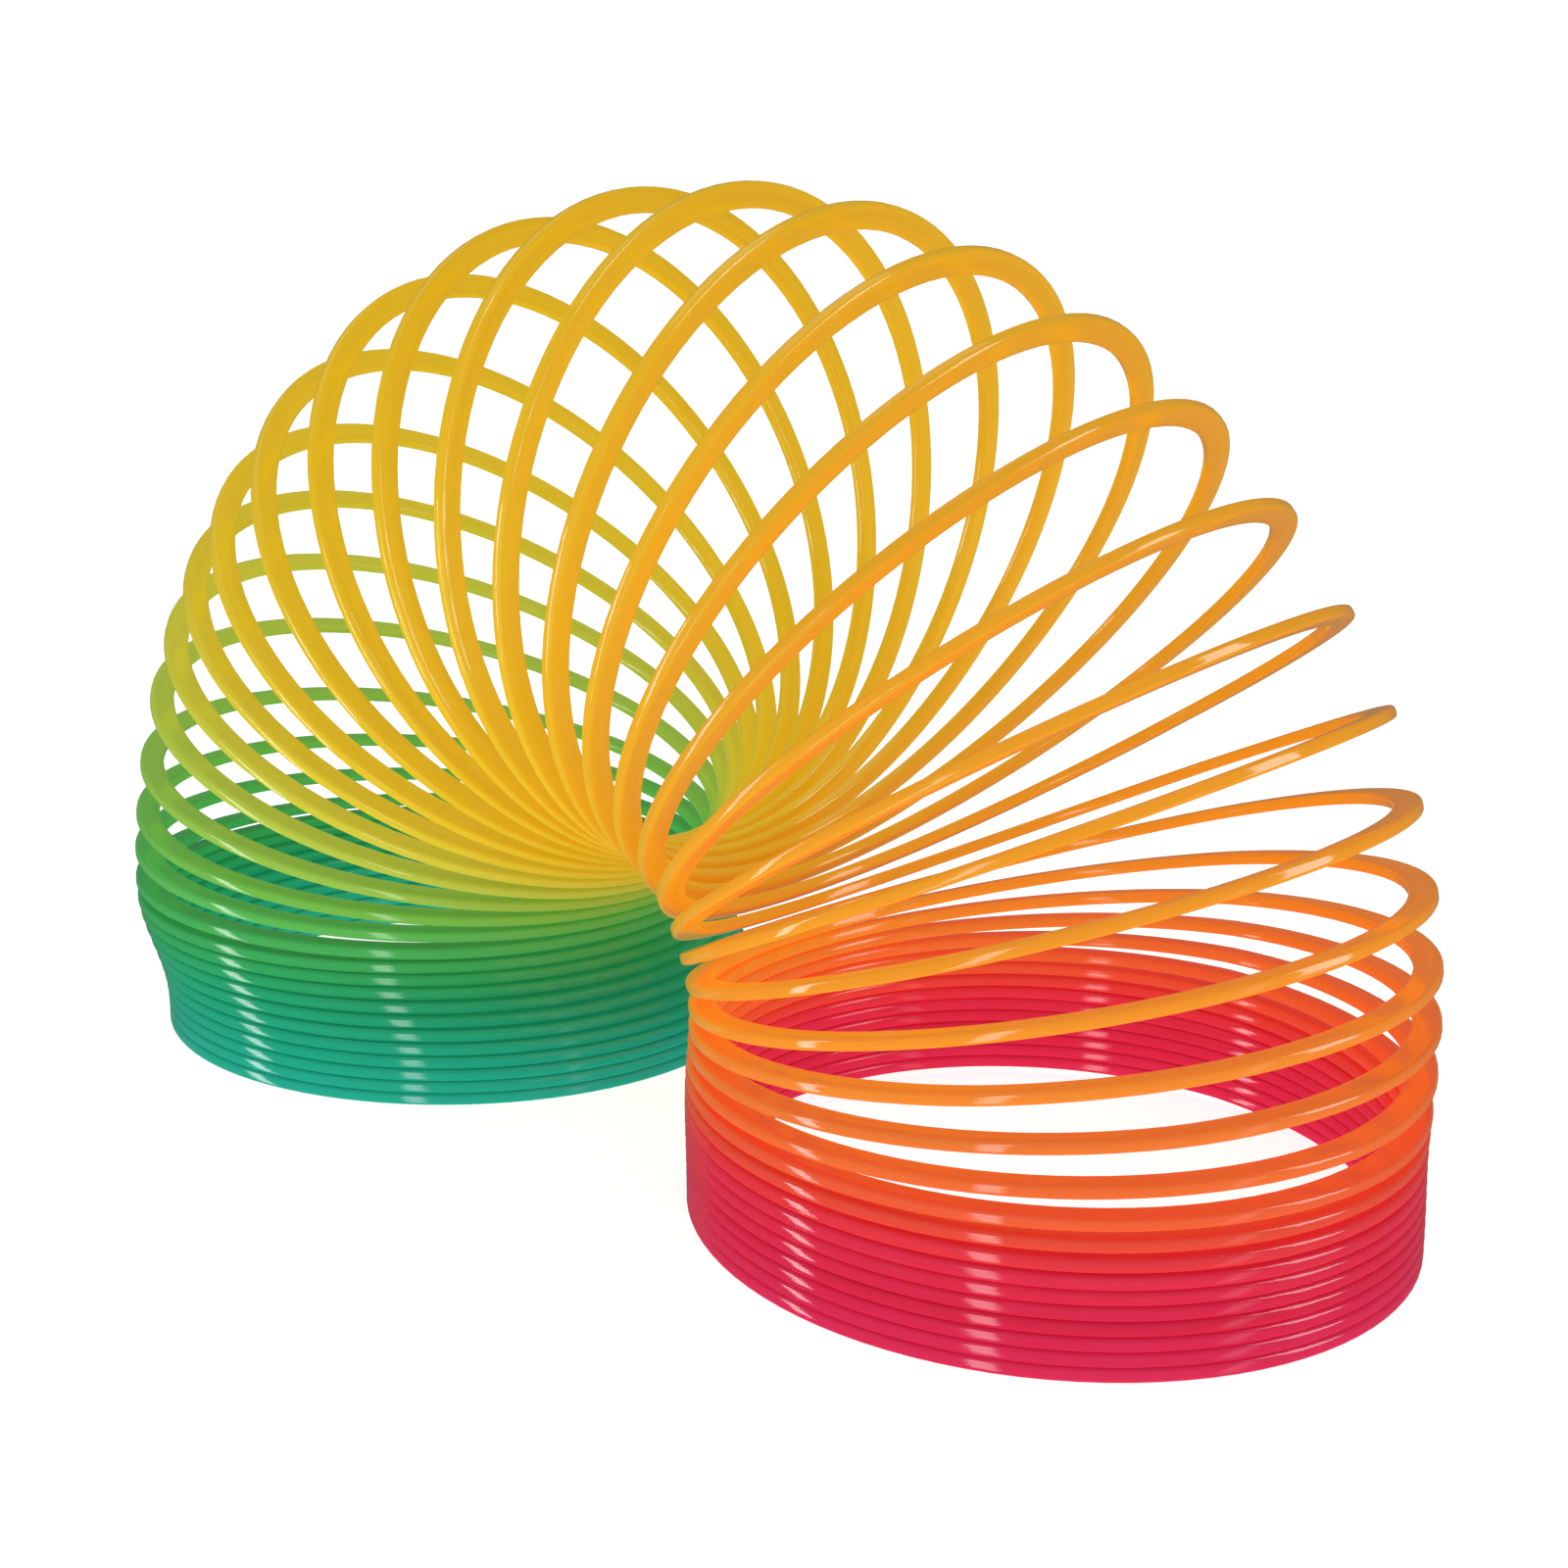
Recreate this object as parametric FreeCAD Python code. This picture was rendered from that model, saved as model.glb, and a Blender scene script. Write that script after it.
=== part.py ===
"""Rainbow spring coil toy, standing as an arch with its two ends on a table.

One flat plastic strand is wound into 46 turns. The turns of the left stack lie closed on the
table, the turns of the arch fan out over half a circle, and the turns of the right stack lie
closed again, upside down. Each turn is one node: it starts and ends where the strand passes the
inside of the arch, and there it hinges on its neighbour, because that is where the strand twists
when the coil bends.

Frame: millimetres, +Z up, the table is Z = 0, X runs from the left foot to the right foot and
the arch stands in the plane Y = 0. The origin is under the middle of the coil's overall box.
A place along the strand is a turn count u: whole numbers are where the strand crosses the
near side (-Y), and u + 1/4 is the inside of the arch.
"""
import FreeCAD, Part
import math
import os
from FreeCAD import Vector

# Strand and coil
COIL_DIAMETER = 75.0
STRAND_WIDTH = 3.0
STRAND_HEIGHT = 1.22
STRAND_EDGE_RADIUS = 0.5
CLOSED_PITCH = 1.42
TURN_COUNT = 46
COIL_RADIUS = (COIL_DIAMETER - STRAND_WIDTH) / 2

# Which turns lie closed in each foot; the rest are the arch
LEFT_STACK_LAST = 11
RIGHT_STACK_FIRST = 38

# End turns: the first and last turn lie flat for most of a circle, so the toy stands on them.
# Closed turns lie flat too, and climb one pitch over a short ramp that ends at the back of the
# coil. In the arch each further turn has a longer ramp, until the coil is an even helix.
FREE_END = 0.5
SHORT_RAMP = 0.2
SHORT_RAMP_TURNS = 10
RAMP_GROWTH = 0.08

# Tilt of the turns, in degrees from lying flat in the left foot, at a few turns
TILT_AT_TURN = ((11, 0), (14, 7), (16, 20), (19, 41.5), (22, 75), (25, 106),
                (28, 133), (31, 156), (34, 172), (37, 179), (40, 180))

# Inner line of the arch: it climbs from the left foot, bends over the crown and comes down
BEND_LENGTH = 5.0
CROWN_EARLIEST, CROWN_LATEST = 18.0, 30.0
CROWN_STRETCH = 0.33
CROWN_STRETCH_TURNS = 8.0

# Each stack leans outwards under the arch's push: pitches moved outwards per turn, at its most
LEFT_LEAN, LEFT_LEAN_TURN = 0.90, 8.0
RIGHT_LEAN, RIGHT_LEAN_TURN = 0.40, 34.5
LEAN_TURNS = 4.0

# Clearance between the ends of two turns that hinge on each other
HINGE_GAP = 0.1

# Fineness of the model
STEPS_PER_TURN = 240
SECTIONS_PER_TURN = 24


def bump(u, centre, width):
    """A smooth hill of height 1."""
    return math.exp(-((u - centre) / width) ** 2)


def ramp_progress(u):
    """Pitches climbed by the strand since the left free end, if every turn were closed."""
    turn = math.floor(u + 0.5)
    from_near_side = u - turn
    ramp = min(1.0, SHORT_RAMP + RAMP_GROWTH * max(0, turn - SHORT_RAMP_TURNS))
    return turn - 1 + max(0.0, 1 - (0.5 - from_near_side) / ramp)


def pitches_climbed(u):
    """ramp_progress, made the same from both ends of the coil."""
    if u <= (TURN_COUNT + 1) / 2:
        return ramp_progress(u)
    return TURN_COUNT - ramp_progress(TURN_COUNT + 1 - u)


def knot_slopes(knots):
    """Slopes at the knots of a smooth curve that never turns back."""
    rises = [(b[1] - a[1]) / (b[0] - a[0]) for a, b in zip(knots, knots[1:])]
    inner = [2 * a * b / (a + b) for a, b in zip(rises, rises[1:])]
    return [0.0] + inner + [0.0]


TILT_SLOPES = knot_slopes(TILT_AT_TURN)


def tilt(u):
    """Angle of the turn's plane at u, in radians: 0 lies flat, pi lies upside down."""
    knots = TILT_AT_TURN
    if u <= knots[0][0]:
        return math.radians(knots[0][1])
    if u >= knots[-1][0]:
        return math.radians(knots[-1][1])
    i = max(n for n, knot in enumerate(knots) if knot[0] <= u)
    span = knots[i + 1][0] - knots[i][0]
    x = (u - knots[i][0]) / span
    rise = knots[i + 1][1] - knots[i][1]
    start = span * TILT_SLOPES[i]
    end = span * TILT_SLOPES[i + 1]
    degrees = knots[i][1] + start * x + (3 * rise - 2 * start - end) * x ** 2
    degrees += (start + end - 2 * rise) * x ** 3
    return math.radians(degrees)


def inner_line(crown):
    """Points of the strand's innermost line, from the left free end to the right one."""
    x, z = 0.0, STRAND_HEIGHT / 2
    points = [(x, z)]
    steps = round((TURN_COUNT - 2 * FREE_END + 1) * STEPS_PER_TURN)
    for i in range(steps):
        u = FREE_END + (i + 0.5) / STEPS_PER_TURN
        climbed = pitches_climbed(u + 0.5 / STEPS_PER_TURN) - pitches_climbed(u - 0.5 / STEPS_PER_TURN)
        heading = math.pi / (1 + math.exp(-(u - crown) / BEND_LENGTH))
        step = CLOSED_PITCH * climbed * (1 + CROWN_STRETCH * bump(u, crown, CROWN_STRETCH_TURNS))
        lean = LEFT_LEAN * bump(u, LEFT_LEAN_TURN, LEAN_TURNS)
        lean += RIGHT_LEAN * bump(u, RIGHT_LEAN_TURN, LEAN_TURNS)
        x += step * math.sin(heading) - CLOSED_PITCH * climbed * lean
        z += step * math.cos(heading)
        points.append((x, z))
    return points


def crown_that_lands():
    """Turn at the crown for which the right foot comes down to the table."""
    low, high = CROWN_EARLIEST, CROWN_LATEST
    for _ in range(40):
        middle = (low + high) / 2
        landing = inner_line(middle)[-1][1] - STRAND_HEIGHT / 2
        if landing > 0:
            high = middle
        else:
            low = middle
    return (low + high) / 2


CROWN = crown_that_lands()
INNER_LINE = inner_line(CROWN)


def inner_point(u):
    """Where the inner line passes at u, with X counted from the left free end."""
    place = (u - FREE_END) * STEPS_PER_TURN
    i = min(int(place), len(INNER_LINE) - 2)
    part = place - i
    (xa, za), (xb, zb) = INNER_LINE[i], INNER_LINE[i + 1]
    return Vector(xa + (xb - xa) * part, 0, za + (zb - za) * part)


def strand_frame(u):
    """Centre of the strand at u, and its two section directions: outwards and along the coil."""
    angle = math.pi / 2 - 2 * math.pi * u
    lean = tilt(u)
    across = Vector(-math.cos(lean), 0, math.sin(lean))
    outwards = across * -math.cos(angle) + Vector(0, -math.sin(angle), 0)
    along_coil = Vector(math.sin(lean), 0, math.cos(lean))
    centre = inner_point(u) + (across + outwards) * COIL_RADIUS
    return centre, outwards, along_coil


def box_middle_x():
    """Middle of the coil's overall box along X, before it is moved over the origin."""
    reach = []
    for i in range((len(INNER_LINE) - 1) // 5):
        centre, outwards, along_coil = strand_frame(FREE_END + i * 5 / STEPS_PER_TURN)
        half = abs(outwards.x) * STRAND_WIDTH / 2 + abs(along_coil.x) * STRAND_HEIGHT / 2
        reach += [centre.x - half, centre.x + half]
    return (min(reach) + max(reach)) / 2


MIDDLE = Vector(box_middle_x(), 0, 0)


def section(u):
    """Rounded-rectangle outline of the strand at u."""
    centre, outwards, along_coil = strand_frame(u)
    centre = centre - MIDDLE
    flat_x = STRAND_WIDTH / 2 - STRAND_EDGE_RADIUS
    flat_y = STRAND_HEIGHT / 2 - STRAND_EDGE_RADIUS

    def corner_point(side_x, side_y, degrees):
        x = side_x * flat_x + STRAND_EDGE_RADIUS * math.cos(math.radians(degrees))
        y = side_y * flat_y + STRAND_EDGE_RADIUS * math.sin(math.radians(degrees))
        return centre + outwards * x + along_coil * y

    corners = []
    for side_x, side_y, degrees in ((1, 1, 0), (-1, 1, 90), (-1, -1, 180), (1, -1, 270)):
        corners.append([corner_point(side_x, side_y, degrees + turn) for turn in (0, 45, 90)])
    edges = []
    for i, corner in enumerate(corners):
        edges.append(Part.Arc(*corner).toShape())
        edges.append(Part.LineSegment(corner[-1], corners[(i + 1) % 4][0]).toShape())
    return Part.Wire(edges)


def flat_strand(start, end):
    """A part of a circle lying on the table."""
    centre, outwards, along_coil = strand_frame(start)
    axis_point = centre - outwards * COIL_RADIUS - MIDDLE
    face = Part.Face(section(start))
    return face.revolve(axis_point, along_coil, 360 * (end - start))


def wound_strand(start, end):
    """A length of strand that climbs along the coil, through sections of the strand."""
    count = round((end - start) * SECTIONS_PER_TURN)
    outlines = [section(start + (end - start) * i / count) for i in range(count + 1)]
    return Part.makeLoft(outlines, True, False)


def turn_solid(turn):
    """The strand of one turn; the first and last turn lie flat on the table."""
    start, end = turn_span(turn)
    if turn == 1:
        return flat_strand(start, end)
    if turn == TURN_COUNT:
        landing = TURN_COUNT - FREE_END + SHORT_RAMP
        strand = wound_strand(start, landing).fuse(flat_strand(landing, end))
        return strand.removeSplitter().Solids[0]
    return wound_strand(start, end)


def is_hinge(turn):
    """Whether the strand hinges where this turn ends and the next one starts."""
    return LEFT_STACK_LAST <= turn < RIGHT_STACK_FIRST


def turn_span(turn):
    """Start and end of a turn along the strand, with the hinges' clearance taken off."""
    trim = HINGE_GAP / 2 / (2 * math.pi * COIL_RADIUS)
    start, end = turn - 0.75, turn + 0.25
    if turn == 1:
        start, end = FREE_END, 1.5 - SHORT_RAMP
    if turn == 2:
        start = 1.5 - SHORT_RAMP
    if turn == TURN_COUNT:
        end = TURN_COUNT + 1 - FREE_END
    if is_hinge(turn - 1):
        start += trim
    if is_hinge(turn):
        end -= trim
    return start, end


def node_name(turn):
    """Name of a turn's node."""
    if turn <= LEFT_STACK_LAST:
        return f"left_stack_turn_{turn:02d}"
    if turn < RIGHT_STACK_FIRST:
        return f"arch_turn_{turn:02d}"
    return f"right_stack_turn_{turn:02d}"


def build():
    """Write one STEP file per turn."""
    os.makedirs("parts", exist_ok=True)
    for turn in range(1, TURN_COUNT + 1):
        turn_solid(turn).exportStep(f"parts/{node_name(turn)}.step")
    feet = strand_frame(FREE_END)[0].x, strand_frame(TURN_COUNT + 1 - FREE_END)[0].x
    print(f"crown at turn {CROWN:.2f}, foot centres {feet[0] - MIDDLE.x:.2f} and {feet[1] - MIDDLE.x:.2f}")


build()
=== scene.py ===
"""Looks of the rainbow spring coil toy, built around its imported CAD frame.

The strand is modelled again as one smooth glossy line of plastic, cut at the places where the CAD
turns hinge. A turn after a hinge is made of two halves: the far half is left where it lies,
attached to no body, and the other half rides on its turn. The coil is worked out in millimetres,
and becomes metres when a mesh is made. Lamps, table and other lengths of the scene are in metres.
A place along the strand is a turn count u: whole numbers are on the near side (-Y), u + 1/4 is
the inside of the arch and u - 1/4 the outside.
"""
import math

import bpy
import numpy as np
from mathutils import Matrix, Vector


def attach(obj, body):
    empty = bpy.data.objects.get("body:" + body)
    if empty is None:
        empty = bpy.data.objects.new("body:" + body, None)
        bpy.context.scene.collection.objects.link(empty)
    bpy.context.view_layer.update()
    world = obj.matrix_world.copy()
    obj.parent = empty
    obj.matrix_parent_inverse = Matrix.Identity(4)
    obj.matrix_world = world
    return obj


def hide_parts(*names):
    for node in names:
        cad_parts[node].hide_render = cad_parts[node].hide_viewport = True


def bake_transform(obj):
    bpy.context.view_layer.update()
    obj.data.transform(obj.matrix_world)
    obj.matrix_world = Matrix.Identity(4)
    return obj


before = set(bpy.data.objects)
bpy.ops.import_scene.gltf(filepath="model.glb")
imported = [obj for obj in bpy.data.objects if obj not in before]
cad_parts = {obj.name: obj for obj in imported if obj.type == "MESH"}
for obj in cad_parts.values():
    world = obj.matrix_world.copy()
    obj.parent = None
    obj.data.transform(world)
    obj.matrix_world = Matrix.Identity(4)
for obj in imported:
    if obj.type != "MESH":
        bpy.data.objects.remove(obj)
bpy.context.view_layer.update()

MM = 0.001

# ---------------------------------------------------------------- the coil, as in its CAD source
COIL_DIAMETER = 75.0
STRAND_WIDTH = 3.0
STRAND_HEIGHT = 1.22
CLOSED_PITCH = 1.42
TURN_COUNT = 46
COIL_RADIUS = (COIL_DIAMETER - STRAND_WIDTH) / 2
LEFT_STACK_LAST = 11
RIGHT_STACK_FIRST = 38

# How far the strand's free ends lie from the near side, in turns, and over what part of a turn it
# climbs to the next one: a short ramp in the stacks, which grows from turn to turn in the arch
FREE_END = 0.5
SHORT_RAMP = 0.2
SHORT_RAMP_TURNS = 10
RAMP_GROWTH = 0.08

# Tilt of the turns, in degrees from lying flat in the left foot, at a few turns
TILT_AT_TURN = ((11, 0), (14, 7), (16, 20), (19, 41.5), (22, 75), (25, 106),
                (28, 133), (31, 156), (34, 172), (37, 179), (40, 180))

# Inner line of the arch: it climbs from the left foot, bends over the crown and comes down
BEND_LENGTH = 5.0
CROWN_EARLIEST, CROWN_LATEST = 18.0, 30.0
CROWN_STRETCH = 0.33
CROWN_STRETCH_TURNS = 8.0

# Steps of the search for the crown, each of which halves what is left to search
HALVINGS = 40

# Each stack leans outwards: pitches moved outwards per turn, at its most, and the turn of the most
LEFT_LEAN, LEFT_LEAN_TURN = 0.90, 8.0
RIGHT_LEAN, RIGHT_LEAN_TURN = 0.40, 34.5
LEAN_TURNS = 4.0

# Fineness of the inner line, and how many of its steps are passed over to find the coil's box
STEPS_PER_TURN = 240
BOX_EVERY = 5


def bump(u, centre, width):
    """A smooth hill of height 1."""
    return np.exp(-((u - centre) / width) ** 2)


def ramp_progress(u):
    """Pitches climbed by the strand since the left free end, if every turn were closed."""
    turn = np.floor(u + 0.5)
    ramp = np.minimum(1.0, SHORT_RAMP + RAMP_GROWTH * np.maximum(0, turn - SHORT_RAMP_TURNS))
    return turn - 1 + np.maximum(0.0, 1 - (0.5 - (u - turn)) / ramp)


def pitches_climbed(u):
    """ramp_progress, made the same from both ends of the coil."""
    return np.where(u <= (TURN_COUNT + 1) / 2, ramp_progress(u),
                    TURN_COUNT - ramp_progress(TURN_COUNT + 1 - u))


def tilt(u):
    """Angle of the turn's plane at u, in radians: 0 lies flat, pi lies upside down."""
    knots = np.array(TILT_AT_TURN, float)
    at, value = knots[:, 0], knots[:, 1]
    spans = np.diff(at)
    rises = np.diff(value) / spans
    slopes = np.concatenate(([0], 2 * rises[:-1] * rises[1:] / (rises[:-1] + rises[1:]), [0]))
    u = np.clip(u, at[0], at[-1])
    i = np.clip(np.searchsorted(at, u, side="right") - 1, 0, len(spans) - 1)
    x = (u - at[i]) / spans[i]
    rise = value[i + 1] - value[i]
    start, end = spans[i] * slopes[i], spans[i] * slopes[i + 1]
    curve = start * x + (3 * rise - 2 * start - end) * x ** 2 + (start + end - 2 * rise) * x ** 3
    return np.radians(value[i] + curve)


def inner_line(crown):
    """Points (x, z) of the strand's innermost line, from the left free end to the right one."""
    steps = round((TURN_COUNT - 2 * FREE_END + 1) * STEPS_PER_TURN)
    u = FREE_END + (np.arange(steps) + 0.5) / STEPS_PER_TURN
    half = 0.5 / STEPS_PER_TURN
    climbed = pitches_climbed(u + half) - pitches_climbed(u - half)
    heading = np.pi / (1 + np.exp(-(u - crown) / BEND_LENGTH))
    step = CLOSED_PITCH * climbed * (1 + CROWN_STRETCH * bump(u, crown, CROWN_STRETCH_TURNS))
    lean = LEFT_LEAN * bump(u, LEFT_LEAN_TURN, LEAN_TURNS)
    lean += RIGHT_LEAN * bump(u, RIGHT_LEAN_TURN, LEAN_TURNS)
    x = np.cumsum(step * np.sin(heading) - CLOSED_PITCH * climbed * lean)
    z = np.cumsum(step * np.cos(heading)) + STRAND_HEIGHT / 2
    return np.concatenate(([0], x)), np.concatenate(([STRAND_HEIGHT / 2], z))


def crown_that_lands():
    """Turn at the crown for which the right foot comes down to the table."""
    low, high = CROWN_EARLIEST, CROWN_LATEST
    for _ in range(HALVINGS):
        middle = (low + high) / 2
        if inner_line(middle)[1][-1] > STRAND_HEIGHT / 2:
            high = middle
        else:
            low = middle
    return (low + high) / 2


INNER_X, INNER_Z = inner_line(crown_that_lands())
INNER_U = FREE_END + np.arange(len(INNER_X)) / STEPS_PER_TURN


def strand_frame(u):
    """Centre of the strand at each u, and its section's directions: outwards and along the coil."""
    u = np.atleast_1d(np.asarray(u, float))
    angle = np.pi / 2 - 2 * np.pi * u
    lean = tilt(u)
    zero = np.zeros_like(u)
    across = np.stack((-np.cos(lean), zero, np.sin(lean)), 1)
    outwards = across * -np.cos(angle)[:, None] + np.stack((zero, -np.sin(angle), zero), 1)
    along_coil = np.stack((np.sin(lean), zero, np.cos(lean)), 1)
    inner = np.stack((np.interp(u, INNER_U, INNER_X), zero, np.interp(u, INNER_U, INNER_Z)), 1)
    return inner + (across + outwards) * COIL_RADIUS, outwards, along_coil


def box_middle_x():
    """Middle of the coil's overall box along X, before it is moved over the origin."""
    centre, outwards, along_coil = strand_frame(INNER_U[:-1:BOX_EVERY])
    half = np.abs(outwards[:, 0]) * STRAND_WIDTH / 2 + np.abs(along_coil[:, 0]) * STRAND_HEIGHT / 2
    return ((centre[:, 0] - half).min() + (centre[:, 0] + half).max()) / 2


MIDDLE = np.array((box_middle_x(), 0, 0))

# ---------------------------------------------------------------- the strand as meshes
# The strand is shown a little narrower and taller than in the CAD, so that the stacks look closed
SHOWN_WIDTH = 2.8
SHOWN_HEIGHT = 1.36
EDGE_RADIUS = 0.40

# The arch's strand is thinner, which leaves room for its turns to close
ARCH_HEIGHT = 1.25
THICK_UNTIL, THIN_FROM, THIN_UNTIL, THICK_FROM = 12.25, 13.25, 38.25, 39.25

# Corners of the section: its sides outwards and along the coil, and its arc's start in degrees
CORNERS = ((1, 1, 0), (-1, 1, 90), (-1, -1, 180), (1, -1, 270))
CORNER_STEPS = 5
BROAD_FACE_STEPS = 4
RINGS_PER_TURN = 96

# A ring close to each cut keeps the shading smooth across it; the two free ends are rounded
HOLDING_RING = 0.02
END_ROUNDING = 0.3
END_ROUNDING_STEPS = 5
STRAND_LENGTH_PER_TURN = 2 * math.pi * COIL_RADIUS


def outline(inset):
    """Closed outline of the strand's section in a stack, inset from its full size."""
    radius = EDGE_RADIUS - inset
    flat_x = SHOWN_WIDTH / 2 - EDGE_RADIUS
    flat_y = SHOWN_HEIGHT / 2 - EDGE_RADIUS
    points = []
    for side_x, side_y, start in CORNERS:
        for i in range(CORNER_STEPS):
            turned = math.radians(start + 90 * i / (CORNER_STEPS - 1))
            points.append((side_x * flat_x + radius * math.cos(turned),
                           side_y * flat_y + radius * math.sin(turned)))
        if side_x == side_y:
            for i in range(1, BROAD_FACE_STEPS):
                x = side_x * flat_x * (1 - 2 * i / BROAD_FACE_STEPS)
                points.append((x, side_y * (flat_y + radius)))
    return np.array(points)


def shown_height(u):
    """Height of the shown strand at each u."""
    places = (THICK_UNTIL, THIN_FROM, THIN_UNTIL, THICK_FROM)
    return np.interp(u, places, (SHOWN_HEIGHT, ARCH_HEIGHT, ARCH_HEIGHT, SHOWN_HEIGHT))


def end_rings(free):
    """Distance from a piece's end and inset, for the rings next to that end."""
    if not free:
        return [(0.0, 0.0), (HOLDING_RING, 0.0)]
    angles = np.linspace(0, math.pi / 2, END_ROUNDING_STEPS)
    return [(END_ROUNDING * (1 - math.cos(a)), END_ROUNDING * (1 - math.sin(a))) for a in angles]


def rings_of(start, end):
    """Places of a piece's rings along the strand, and their insets."""
    between = np.linspace(start, end, round((end - start) * RINGS_PER_TURN) + 1)[1:-1]
    first = end_rings(start == FREE_END)
    last = end_rings(end == TURN_COUNT + 1 - FREE_END)[::-1]
    places = [start + distance / STRAND_LENGTH_PER_TURN for distance, _ in first]
    places += list(between)
    places += [end - distance / STRAND_LENGTH_PER_TURN for distance, _ in last]
    insets = [inset for _, inset in first] + [0.0] * len(between) + [inset for _, inset in last]
    return np.array(places), insets


def strand_piece(name, start, end, material):
    """A closed solid of the strand from one place to another."""
    places, insets = rings_of(start, end)
    centre, outwards, along_coil = strand_frame(places)
    shapes = np.array([outline(inset) for inset in insets])
    shapes[:, :, 1] *= shown_height(places)[:, None] / SHOWN_HEIGHT
    verts = (centre - MIDDLE)[:, None, :] + shapes[:, :, :1] * outwards[:, None, :]
    verts = (verts + shapes[:, :, 1:] * along_coil[:, None, :]) * MM
    # The shown strand is taller than the CAD strand, and is pressed flat where it meets the table
    verts[:, :, 2] = np.maximum(verts[:, :, 2], 0.0)
    rings, n = shapes.shape[:2]
    faces = []
    for i in range(rings - 1):
        for j in range(n):
            k = (j + 1) % n
            faces.append((i * n + j, (i + 1) * n + j, (i + 1) * n + k, i * n + k))
    caps = [tuple(range(n)), tuple(range(rings * n - 1, (rings - 1) * n - 1, -1))]
    mesh = bpy.data.meshes.new(name)
    mesh.from_pydata(verts.reshape(-1, 3).tolist(), [], faces + caps)
    mesh.polygons.foreach_set("use_smooth", [True] * len(faces) + [False] * 2)
    # For the material: how far along the coil, 0 to 1, and the place in the strand, in millimetres
    turns = mesh.attributes.new("turns", "FLOAT", "POINT")
    turns.data.foreach_set("value", np.repeat(places / TURN_COUNT, n).astype(np.float32))
    place = mesh.attributes.new("strand_place", "FLOAT_VECTOR", "POINT")
    run = np.repeat(places * STRAND_LENGTH_PER_TURN, n).reshape(rings, n, 1)
    place.data.foreach_set("vector", np.concatenate((shapes, run), 2).astype(np.float32).ravel())
    mesh.materials.append(material)
    mesh.update()
    piece = bpy.data.objects.new(name, mesh)
    bpy.context.scene.collection.objects.link(piece)
    return piece


# ---------------------------------------------------------------- the plastic
# Colour along the strand: turn, then red, green and blue as seen on a screen, 0 to 255
RAINBOW = (
    (0, (33, 167, 143)), (4, (25, 161, 129)), (8, (33, 159, 109)), (10, (45, 160, 91)),
    (12, (65, 168, 85)), (13, (86, 180, 84)), (14, (109, 183, 73)), (15, (142, 188, 72)),
    (16, (176, 195, 67)), (17, (201, 197, 59)), (18, (215, 194, 46)), (19, (222, 191, 38)),
    (21, (224, 185, 32)), (24, (227, 183, 36)), (28, (226, 162, 36)), (31, (236, 154, 36)),
    (33, (241, 146, 40)), (35, (233, 118, 49)), (36, (236, 107, 49)), (37, (231, 90, 52)),
    (38, (226, 71, 54)), (39, (222, 50, 62)), (40, (217, 42, 71)), (43, (209, 34, 70)),
    (47, (213, 41, 84)),
)
REFRACTIVE_INDEX = 1.49

# Strength of a painted glow: the plastic emits its own dye colour, which stands in for light that
# wanders through the translucent plastic and lifts its shaded sides
PAINTED_DYE_GLOW = 0.24

# Noise along the strand: size across it, length along it, both in millimetres, and detail
DYE_STREAKS = (1.1, 45.0, 3.0)
HUE_STREAKS = (2.5, 30.0, 1.0)
POLISH_STREAKS = (0.8, 6.0, 4.0)
DRAWN_LINES = (0.16, 7.0, 2.0)
NOISE_LOW, NOISE_HIGH = 0.3, 0.7
DYE_STRENGTHS = (0.96, 1.04)
HUE_SHIFTS = (0.499, 0.501)
ROUGHNESSES = (0.06, 0.13)
RELIEF_STRENGTH = 0.35
RELIEF_DEPTH = 0.03


def linear(channel):
    """Light of a screen colour's channel, 0 to 1, by the sRGB curve."""
    c = channel / 255
    return c / 12.92 if c <= 0.04045 else ((c + 0.055) / 1.055) ** 2.4


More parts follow.
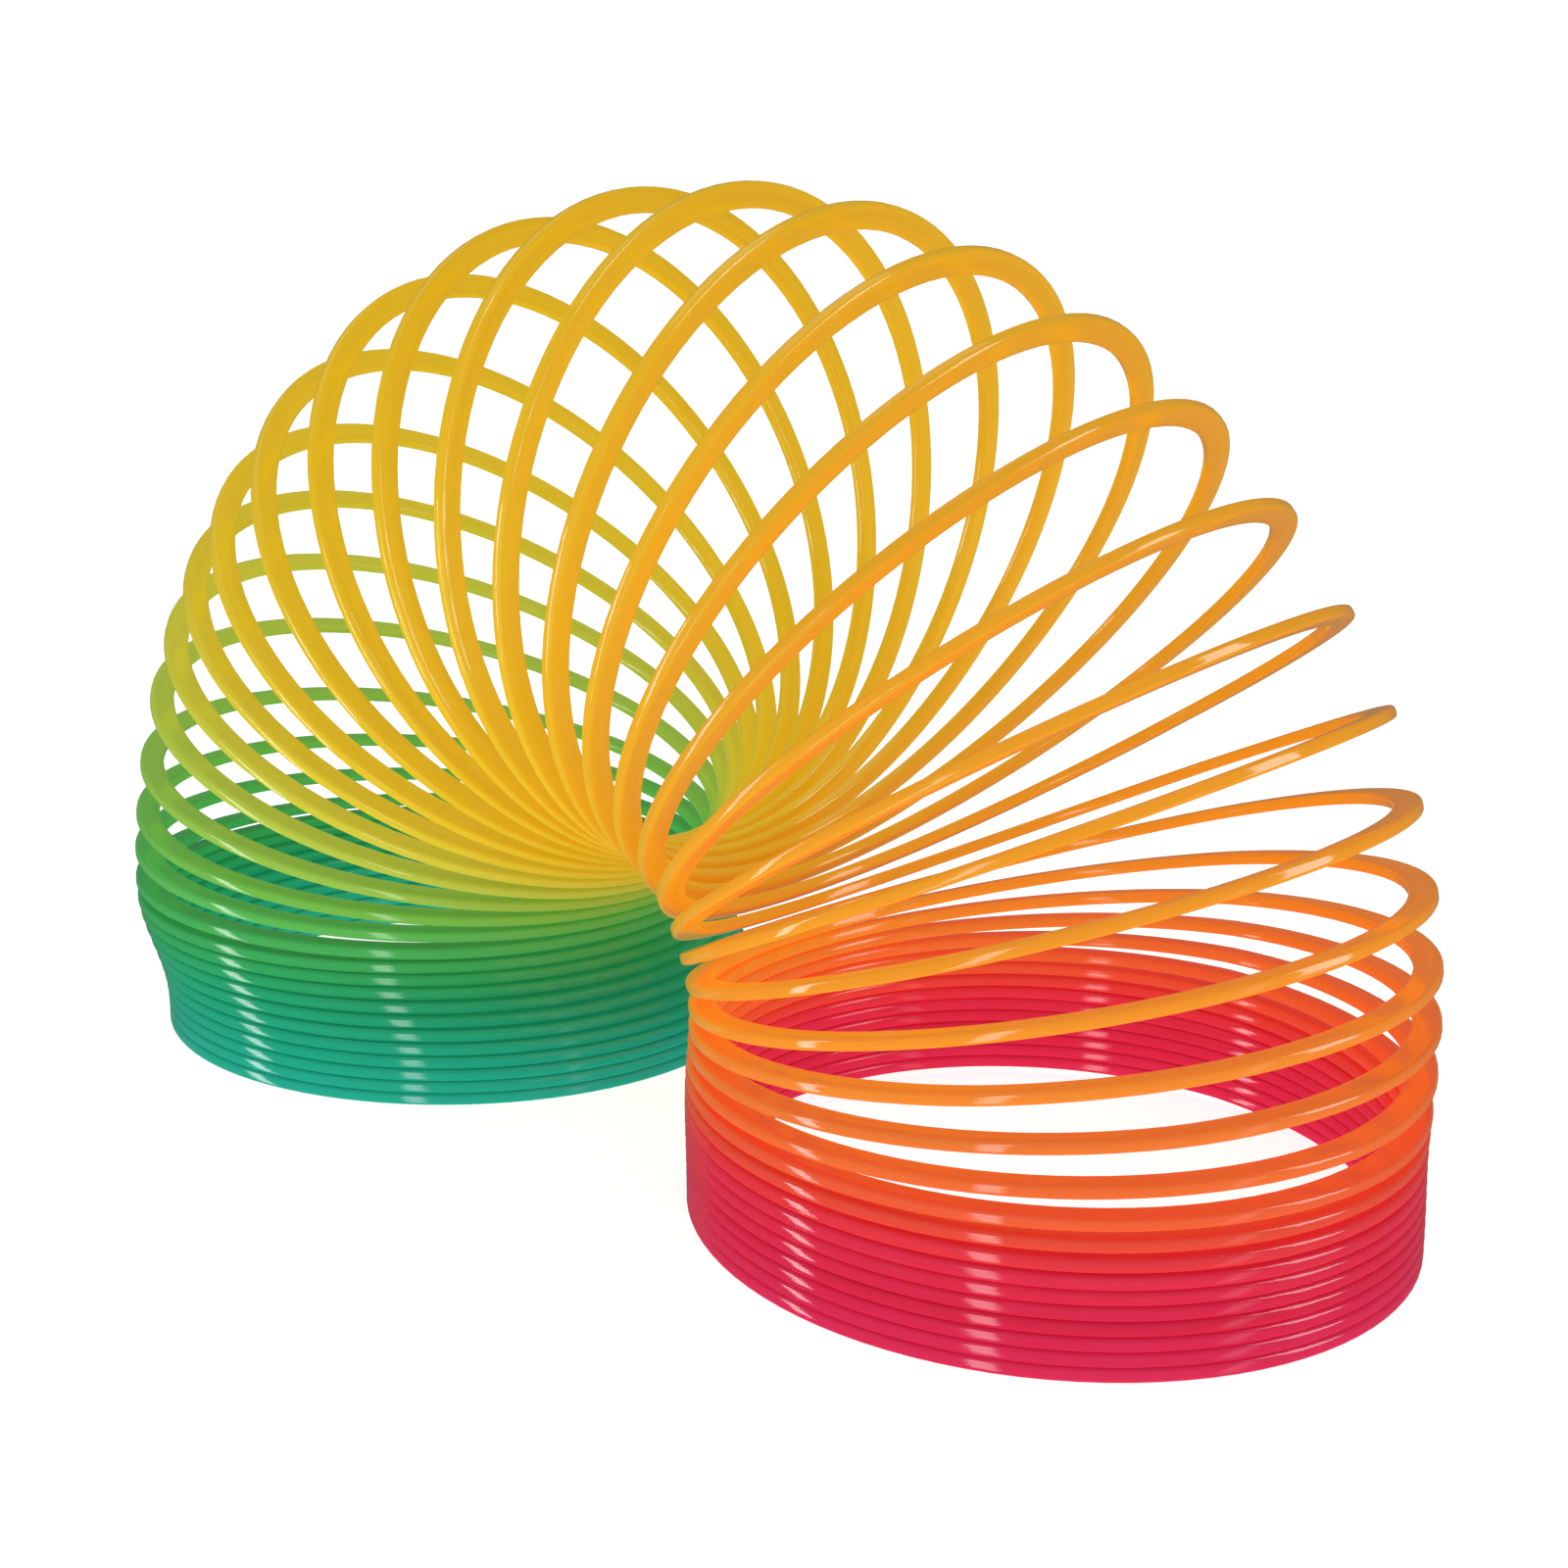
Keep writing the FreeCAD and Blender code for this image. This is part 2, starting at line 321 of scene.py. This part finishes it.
def plastic():
    """Glossy plastic whose dye changes along the strand, with the drawn strand's fine lines, and
    which glows with its own dye colour as painted light that lifts its shade.
    """
    material = bpy.data.materials.new("rainbow_plastic")
    material.use_nodes = True
    nodes, links = material.node_tree.nodes, material.node_tree.links
    shader = nodes["Principled BSDF"]
    shader.inputs["IOR"].default_value = REFRACTIVE_INDEX

    turns = nodes.new("ShaderNodeAttribute")
    turns.attribute_name = "turns"
    ramp = nodes.new("ShaderNodeValToRGB")
    stops = ramp.color_ramp.elements
    while len(stops) < len(RAINBOW):
        stops.new(0.5)
    for stop, (turn, colour) in zip(stops, RAINBOW):
        stop.position = min(1.0, turn / TURN_COUNT)
        stop.color = (*[linear(c) for c in colour], 1)
    links.new(turns.outputs["Fac"], ramp.inputs["Fac"])

    place = nodes.new("ShaderNodeAttribute")
    place.attribute_name = "strand_place"

    def lines(across, along, detail):
        """Noise in millimetres of the strand, stretched along it."""
        stretch = nodes.new("ShaderNodeMapping")
        stretch.inputs["Scale"].default_value = (1 / across, 1 / across, 1 / along)
        links.new(place.outputs["Vector"], stretch.inputs["Vector"])
        noise = nodes.new("ShaderNodeTexNoise")
        noise.inputs["Scale"].default_value = 1.0
        noise.inputs["Detail"].default_value = detail
        links.new(stretch.outputs["Vector"], noise.inputs["Vector"])
        return noise.outputs["Fac"]

    def spread(value, low, high):
        """Noise moved to a new range."""
        change = nodes.new("ShaderNodeMapRange")
        change.inputs["From Min"].default_value = NOISE_LOW
        change.inputs["From Max"].default_value = NOISE_HIGH
        change.inputs["To Min"].default_value = low
        change.inputs["To Max"].default_value = high
        links.new(value, change.inputs["Value"])
        return change.outputs["Result"]

    dye = nodes.new("ShaderNodeHueSaturation")
    links.new(ramp.outputs["Color"], dye.inputs["Color"])
    links.new(spread(lines(*DYE_STREAKS), *DYE_STRENGTHS), dye.inputs["Value"])
    links.new(spread(lines(*HUE_STREAKS), *HUE_SHIFTS), dye.inputs["Hue"])
    links.new(dye.outputs["Color"], shader.inputs["Base Color"])
    # The dye colour also drives the emission: a painted glow that stands in for light through the
    # translucent plastic and brightens its shaded sides
    links.new(dye.outputs["Color"], shader.inputs["Emission Color"])
    shader.inputs["Emission Strength"].default_value = PAINTED_DYE_GLOW
    links.new(spread(lines(*POLISH_STREAKS), *ROUGHNESSES), shader.inputs["Roughness"])

    relief = nodes.new("ShaderNodeBump")
    relief.inputs["Strength"].default_value = RELIEF_STRENGTH
    relief.inputs["Distance"].default_value = RELIEF_DEPTH * MM
    links.new(lines(*DRAWN_LINES), relief.inputs["Height"])
    links.new(relief.outputs["Normal"], shader.inputs["Normal"])
    return material


PLASTIC = plastic()


def node_name(turn):
    """Name of a turn's CAD node."""
    if turn <= LEFT_STACK_LAST:
        return f"left_stack_turn_{turn:02d}"
    if turn < RIGHT_STACK_FIRST:
        return f"arch_turn_{turn:02d}"
    return f"right_stack_turn_{turn:02d}"


def body_name(turn):
    """Name of the CAD body that a turn belongs to."""
    if turn <= LEFT_STACK_LAST:
        return "left_stack"
    if turn < RIGHT_STACK_FIRST:
        return f"arch_turn_{turn:02d}"
    return "right_stack"


# Where each turn ends and hinges on the next, in turns past the near side: the inside of the arch
HINGE_PLACE = 0.25


def make_turn(turn):
    """Makes the pieces of one turn: a rigid one, or, after a hinge, a half attached to no body and
    a rigid half.
    """
    node, body = node_name(turn), body_name(turn)
    start = max(turn - 1 + HINGE_PLACE, FREE_END)
    end = min(turn + HINGE_PLACE, TURN_COUNT + 1 - FREE_END)
    pieces = []
    if body_name(turn - 1) == body or turn == 1:
        whole = strand_piece(node + "_strand", start, end, PLASTIC)
        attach(whole, body)
        pieces.append(whole)
    else:
        outer = turn - HINGE_PLACE
        bending = strand_piece(node + "_far_half", start, outer, PLASTIC)
        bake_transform(bending)
        rigid = strand_piece(node + "_near_half", outer, end, PLASTIC)
        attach(rigid, body)
        pieces += [bending, rigid]
    for piece in pieces:
        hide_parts(node)


for turn in range(1, TURN_COUNT + 1):
    make_turn(turn)

# ---------------------------------------------------------------- table, light and camera
FLOOR_SIZE = 8.0
FLOOR_GREY = 0.6
FLOOR_ROUGHNESS = 0.9
FLOOR_GLOW = 0.8


def make_floor():
    """A plain white light table that runs out of sight."""
    half = FLOOR_SIZE / 2
    mesh = bpy.data.meshes.new("floor")
    mesh.from_pydata([(-half, -half, 0), (half, -half, 0), (half, half, 0), (-half, half, 0)],
                     [], [(0, 1, 2, 3)])
    floor = bpy.data.objects.new("floor", mesh)
    bpy.context.scene.collection.objects.link(floor)
    material = bpy.data.materials.new("white_table")
    material.use_nodes = True
    shader = material.node_tree.nodes["Principled BSDF"]
    shader.inputs["Base Color"].default_value = (FLOOR_GREY, FLOOR_GREY, FLOOR_GREY, 1)
    shader.inputs["Roughness"].default_value = FLOOR_ROUGHNESS
    shader.inputs["Specular IOR Level"].default_value = 0.0
    shader.inputs["Emission Color"].default_value = (1, 1, 1, 1)
    shader.inputs["Emission Strength"].default_value = FLOOR_GLOW
    mesh.materials.append(material)
    floor.visible_glossy = False


def make_world(seen, mirrored, lighting):
    """White surroundings, with one strength as seen, one in the gloss and one as light."""
    world = bpy.data.worlds.new("studio")
    bpy.context.scene.world = world
    world.use_nodes = True
    nodes, links = world.node_tree.nodes, world.node_tree.links
    background = nodes["Background"]
    background.inputs["Color"].default_value = (1, 1, 1, 1)
    ray = nodes.new("ShaderNodeLightPath")
    level = lighting
    for flag, value in (("Is Glossy Ray", mirrored), ("Is Camera Ray", seen)):
        mix = nodes.new("ShaderNodeMix")
        links.new(ray.outputs[flag], mix.inputs["Factor"])
        if isinstance(level, float):
            mix.inputs["A"].default_value = level
        else:
            links.new(level, mix.inputs["A"])
        mix.inputs["B"].default_value = value
        level = mix.outputs["Result"]
    links.new(level, background.inputs["Strength"])


def softbox(name, place, target, size, radiance, gleam_only=False):
    """A rectangular lamp facing the target. A gleam-only one shows in gloss but lights nothing."""
    lamp = bpy.data.lights.new(name, "AREA")
    lamp.shape = "RECTANGLE"
    lamp.size, lamp.size_y = size
    lamp.energy = radiance * math.pi * size[0] * size[1]
    box = bpy.data.objects.new(name, lamp)
    bpy.context.scene.collection.objects.link(box)
    box.location = place
    box.rotation_euler = (Vector(target) - Vector(place)).to_track_quat("-Z", "Y").to_euler()
    box.visible_diffuse = not gleam_only


# Camera's place in millimetres, angles in degrees, lens and nearest distance seen
CAMERA_PLACE = (156.4, -172.2, 90.97)
CAMERA_YAW, CAMERA_PITCH, CAMERA_ROLL = 40.171, 13.258, 1.628
CAMERA_LENS = 48.01
CAMERA_NEAREST = 0.01


def make_camera():
    """Looks across the coil from the right, a little from above."""
    yaw, pitch, roll = (math.radians(a) for a in (CAMERA_YAW, CAMERA_PITCH, CAMERA_ROLL))
    forward = Vector((-math.sin(yaw) * math.cos(pitch), math.cos(yaw) * math.cos(pitch),
                      -math.sin(pitch)))
    level = Vector((math.cos(yaw), math.sin(yaw), 0))
    raised = level.cross(forward)
    right = level * math.cos(roll) + raised * math.sin(roll)
    up = right.cross(forward)
    turn = Matrix((right, up, -forward)).transposed()
    camera = bpy.data.objects.new("camera", bpy.data.cameras.new("camera"))
    bpy.context.scene.collection.objects.link(camera)
    camera.location = Vector(CAMERA_PLACE) * MM
    camera.rotation_euler = turn.to_euler()
    camera.data.lens = CAMERA_LENS
    camera.data.clip_start = CAMERA_NEAREST
    bpy.context.scene.camera = camera


bpy.context.scene.view_settings.view_transform = "Standard"
make_floor()
make_world(seen=1.1, mirrored=0.1, lighting=0.57)
# Upright strips, whose gleams run up the stacks as ladders. Three reach below the table, where they
# stand in for their own mirror image in its polished top. The one at the back is for the arch.
softbox("strip_left", (-0.275, -0.366, -0.07), (0, 0, -0.07), (0.052, 0.38), 8.0, gleam_only=True)
softbox("strip_front", (0.15, -0.335, -0.07), (0, 0, -0.07), (0.046, 0.38), 5.0, gleam_only=True)
softbox("strip_right", (0.45, -0.01, -0.07), (0, 0, -0.07), (0.050, 0.38), 0.9, gleam_only=True)
softbox("strip_back", (0.45, 0.17, 0.24), (0, 0, 0.24), (0.14, 0.46), 5.5, gleam_only=True)
softbox("overhead", (-0.1, 0.0, 0.7), (0, 0, 0), (0.5, 0.5), 0.7)
make_camera()
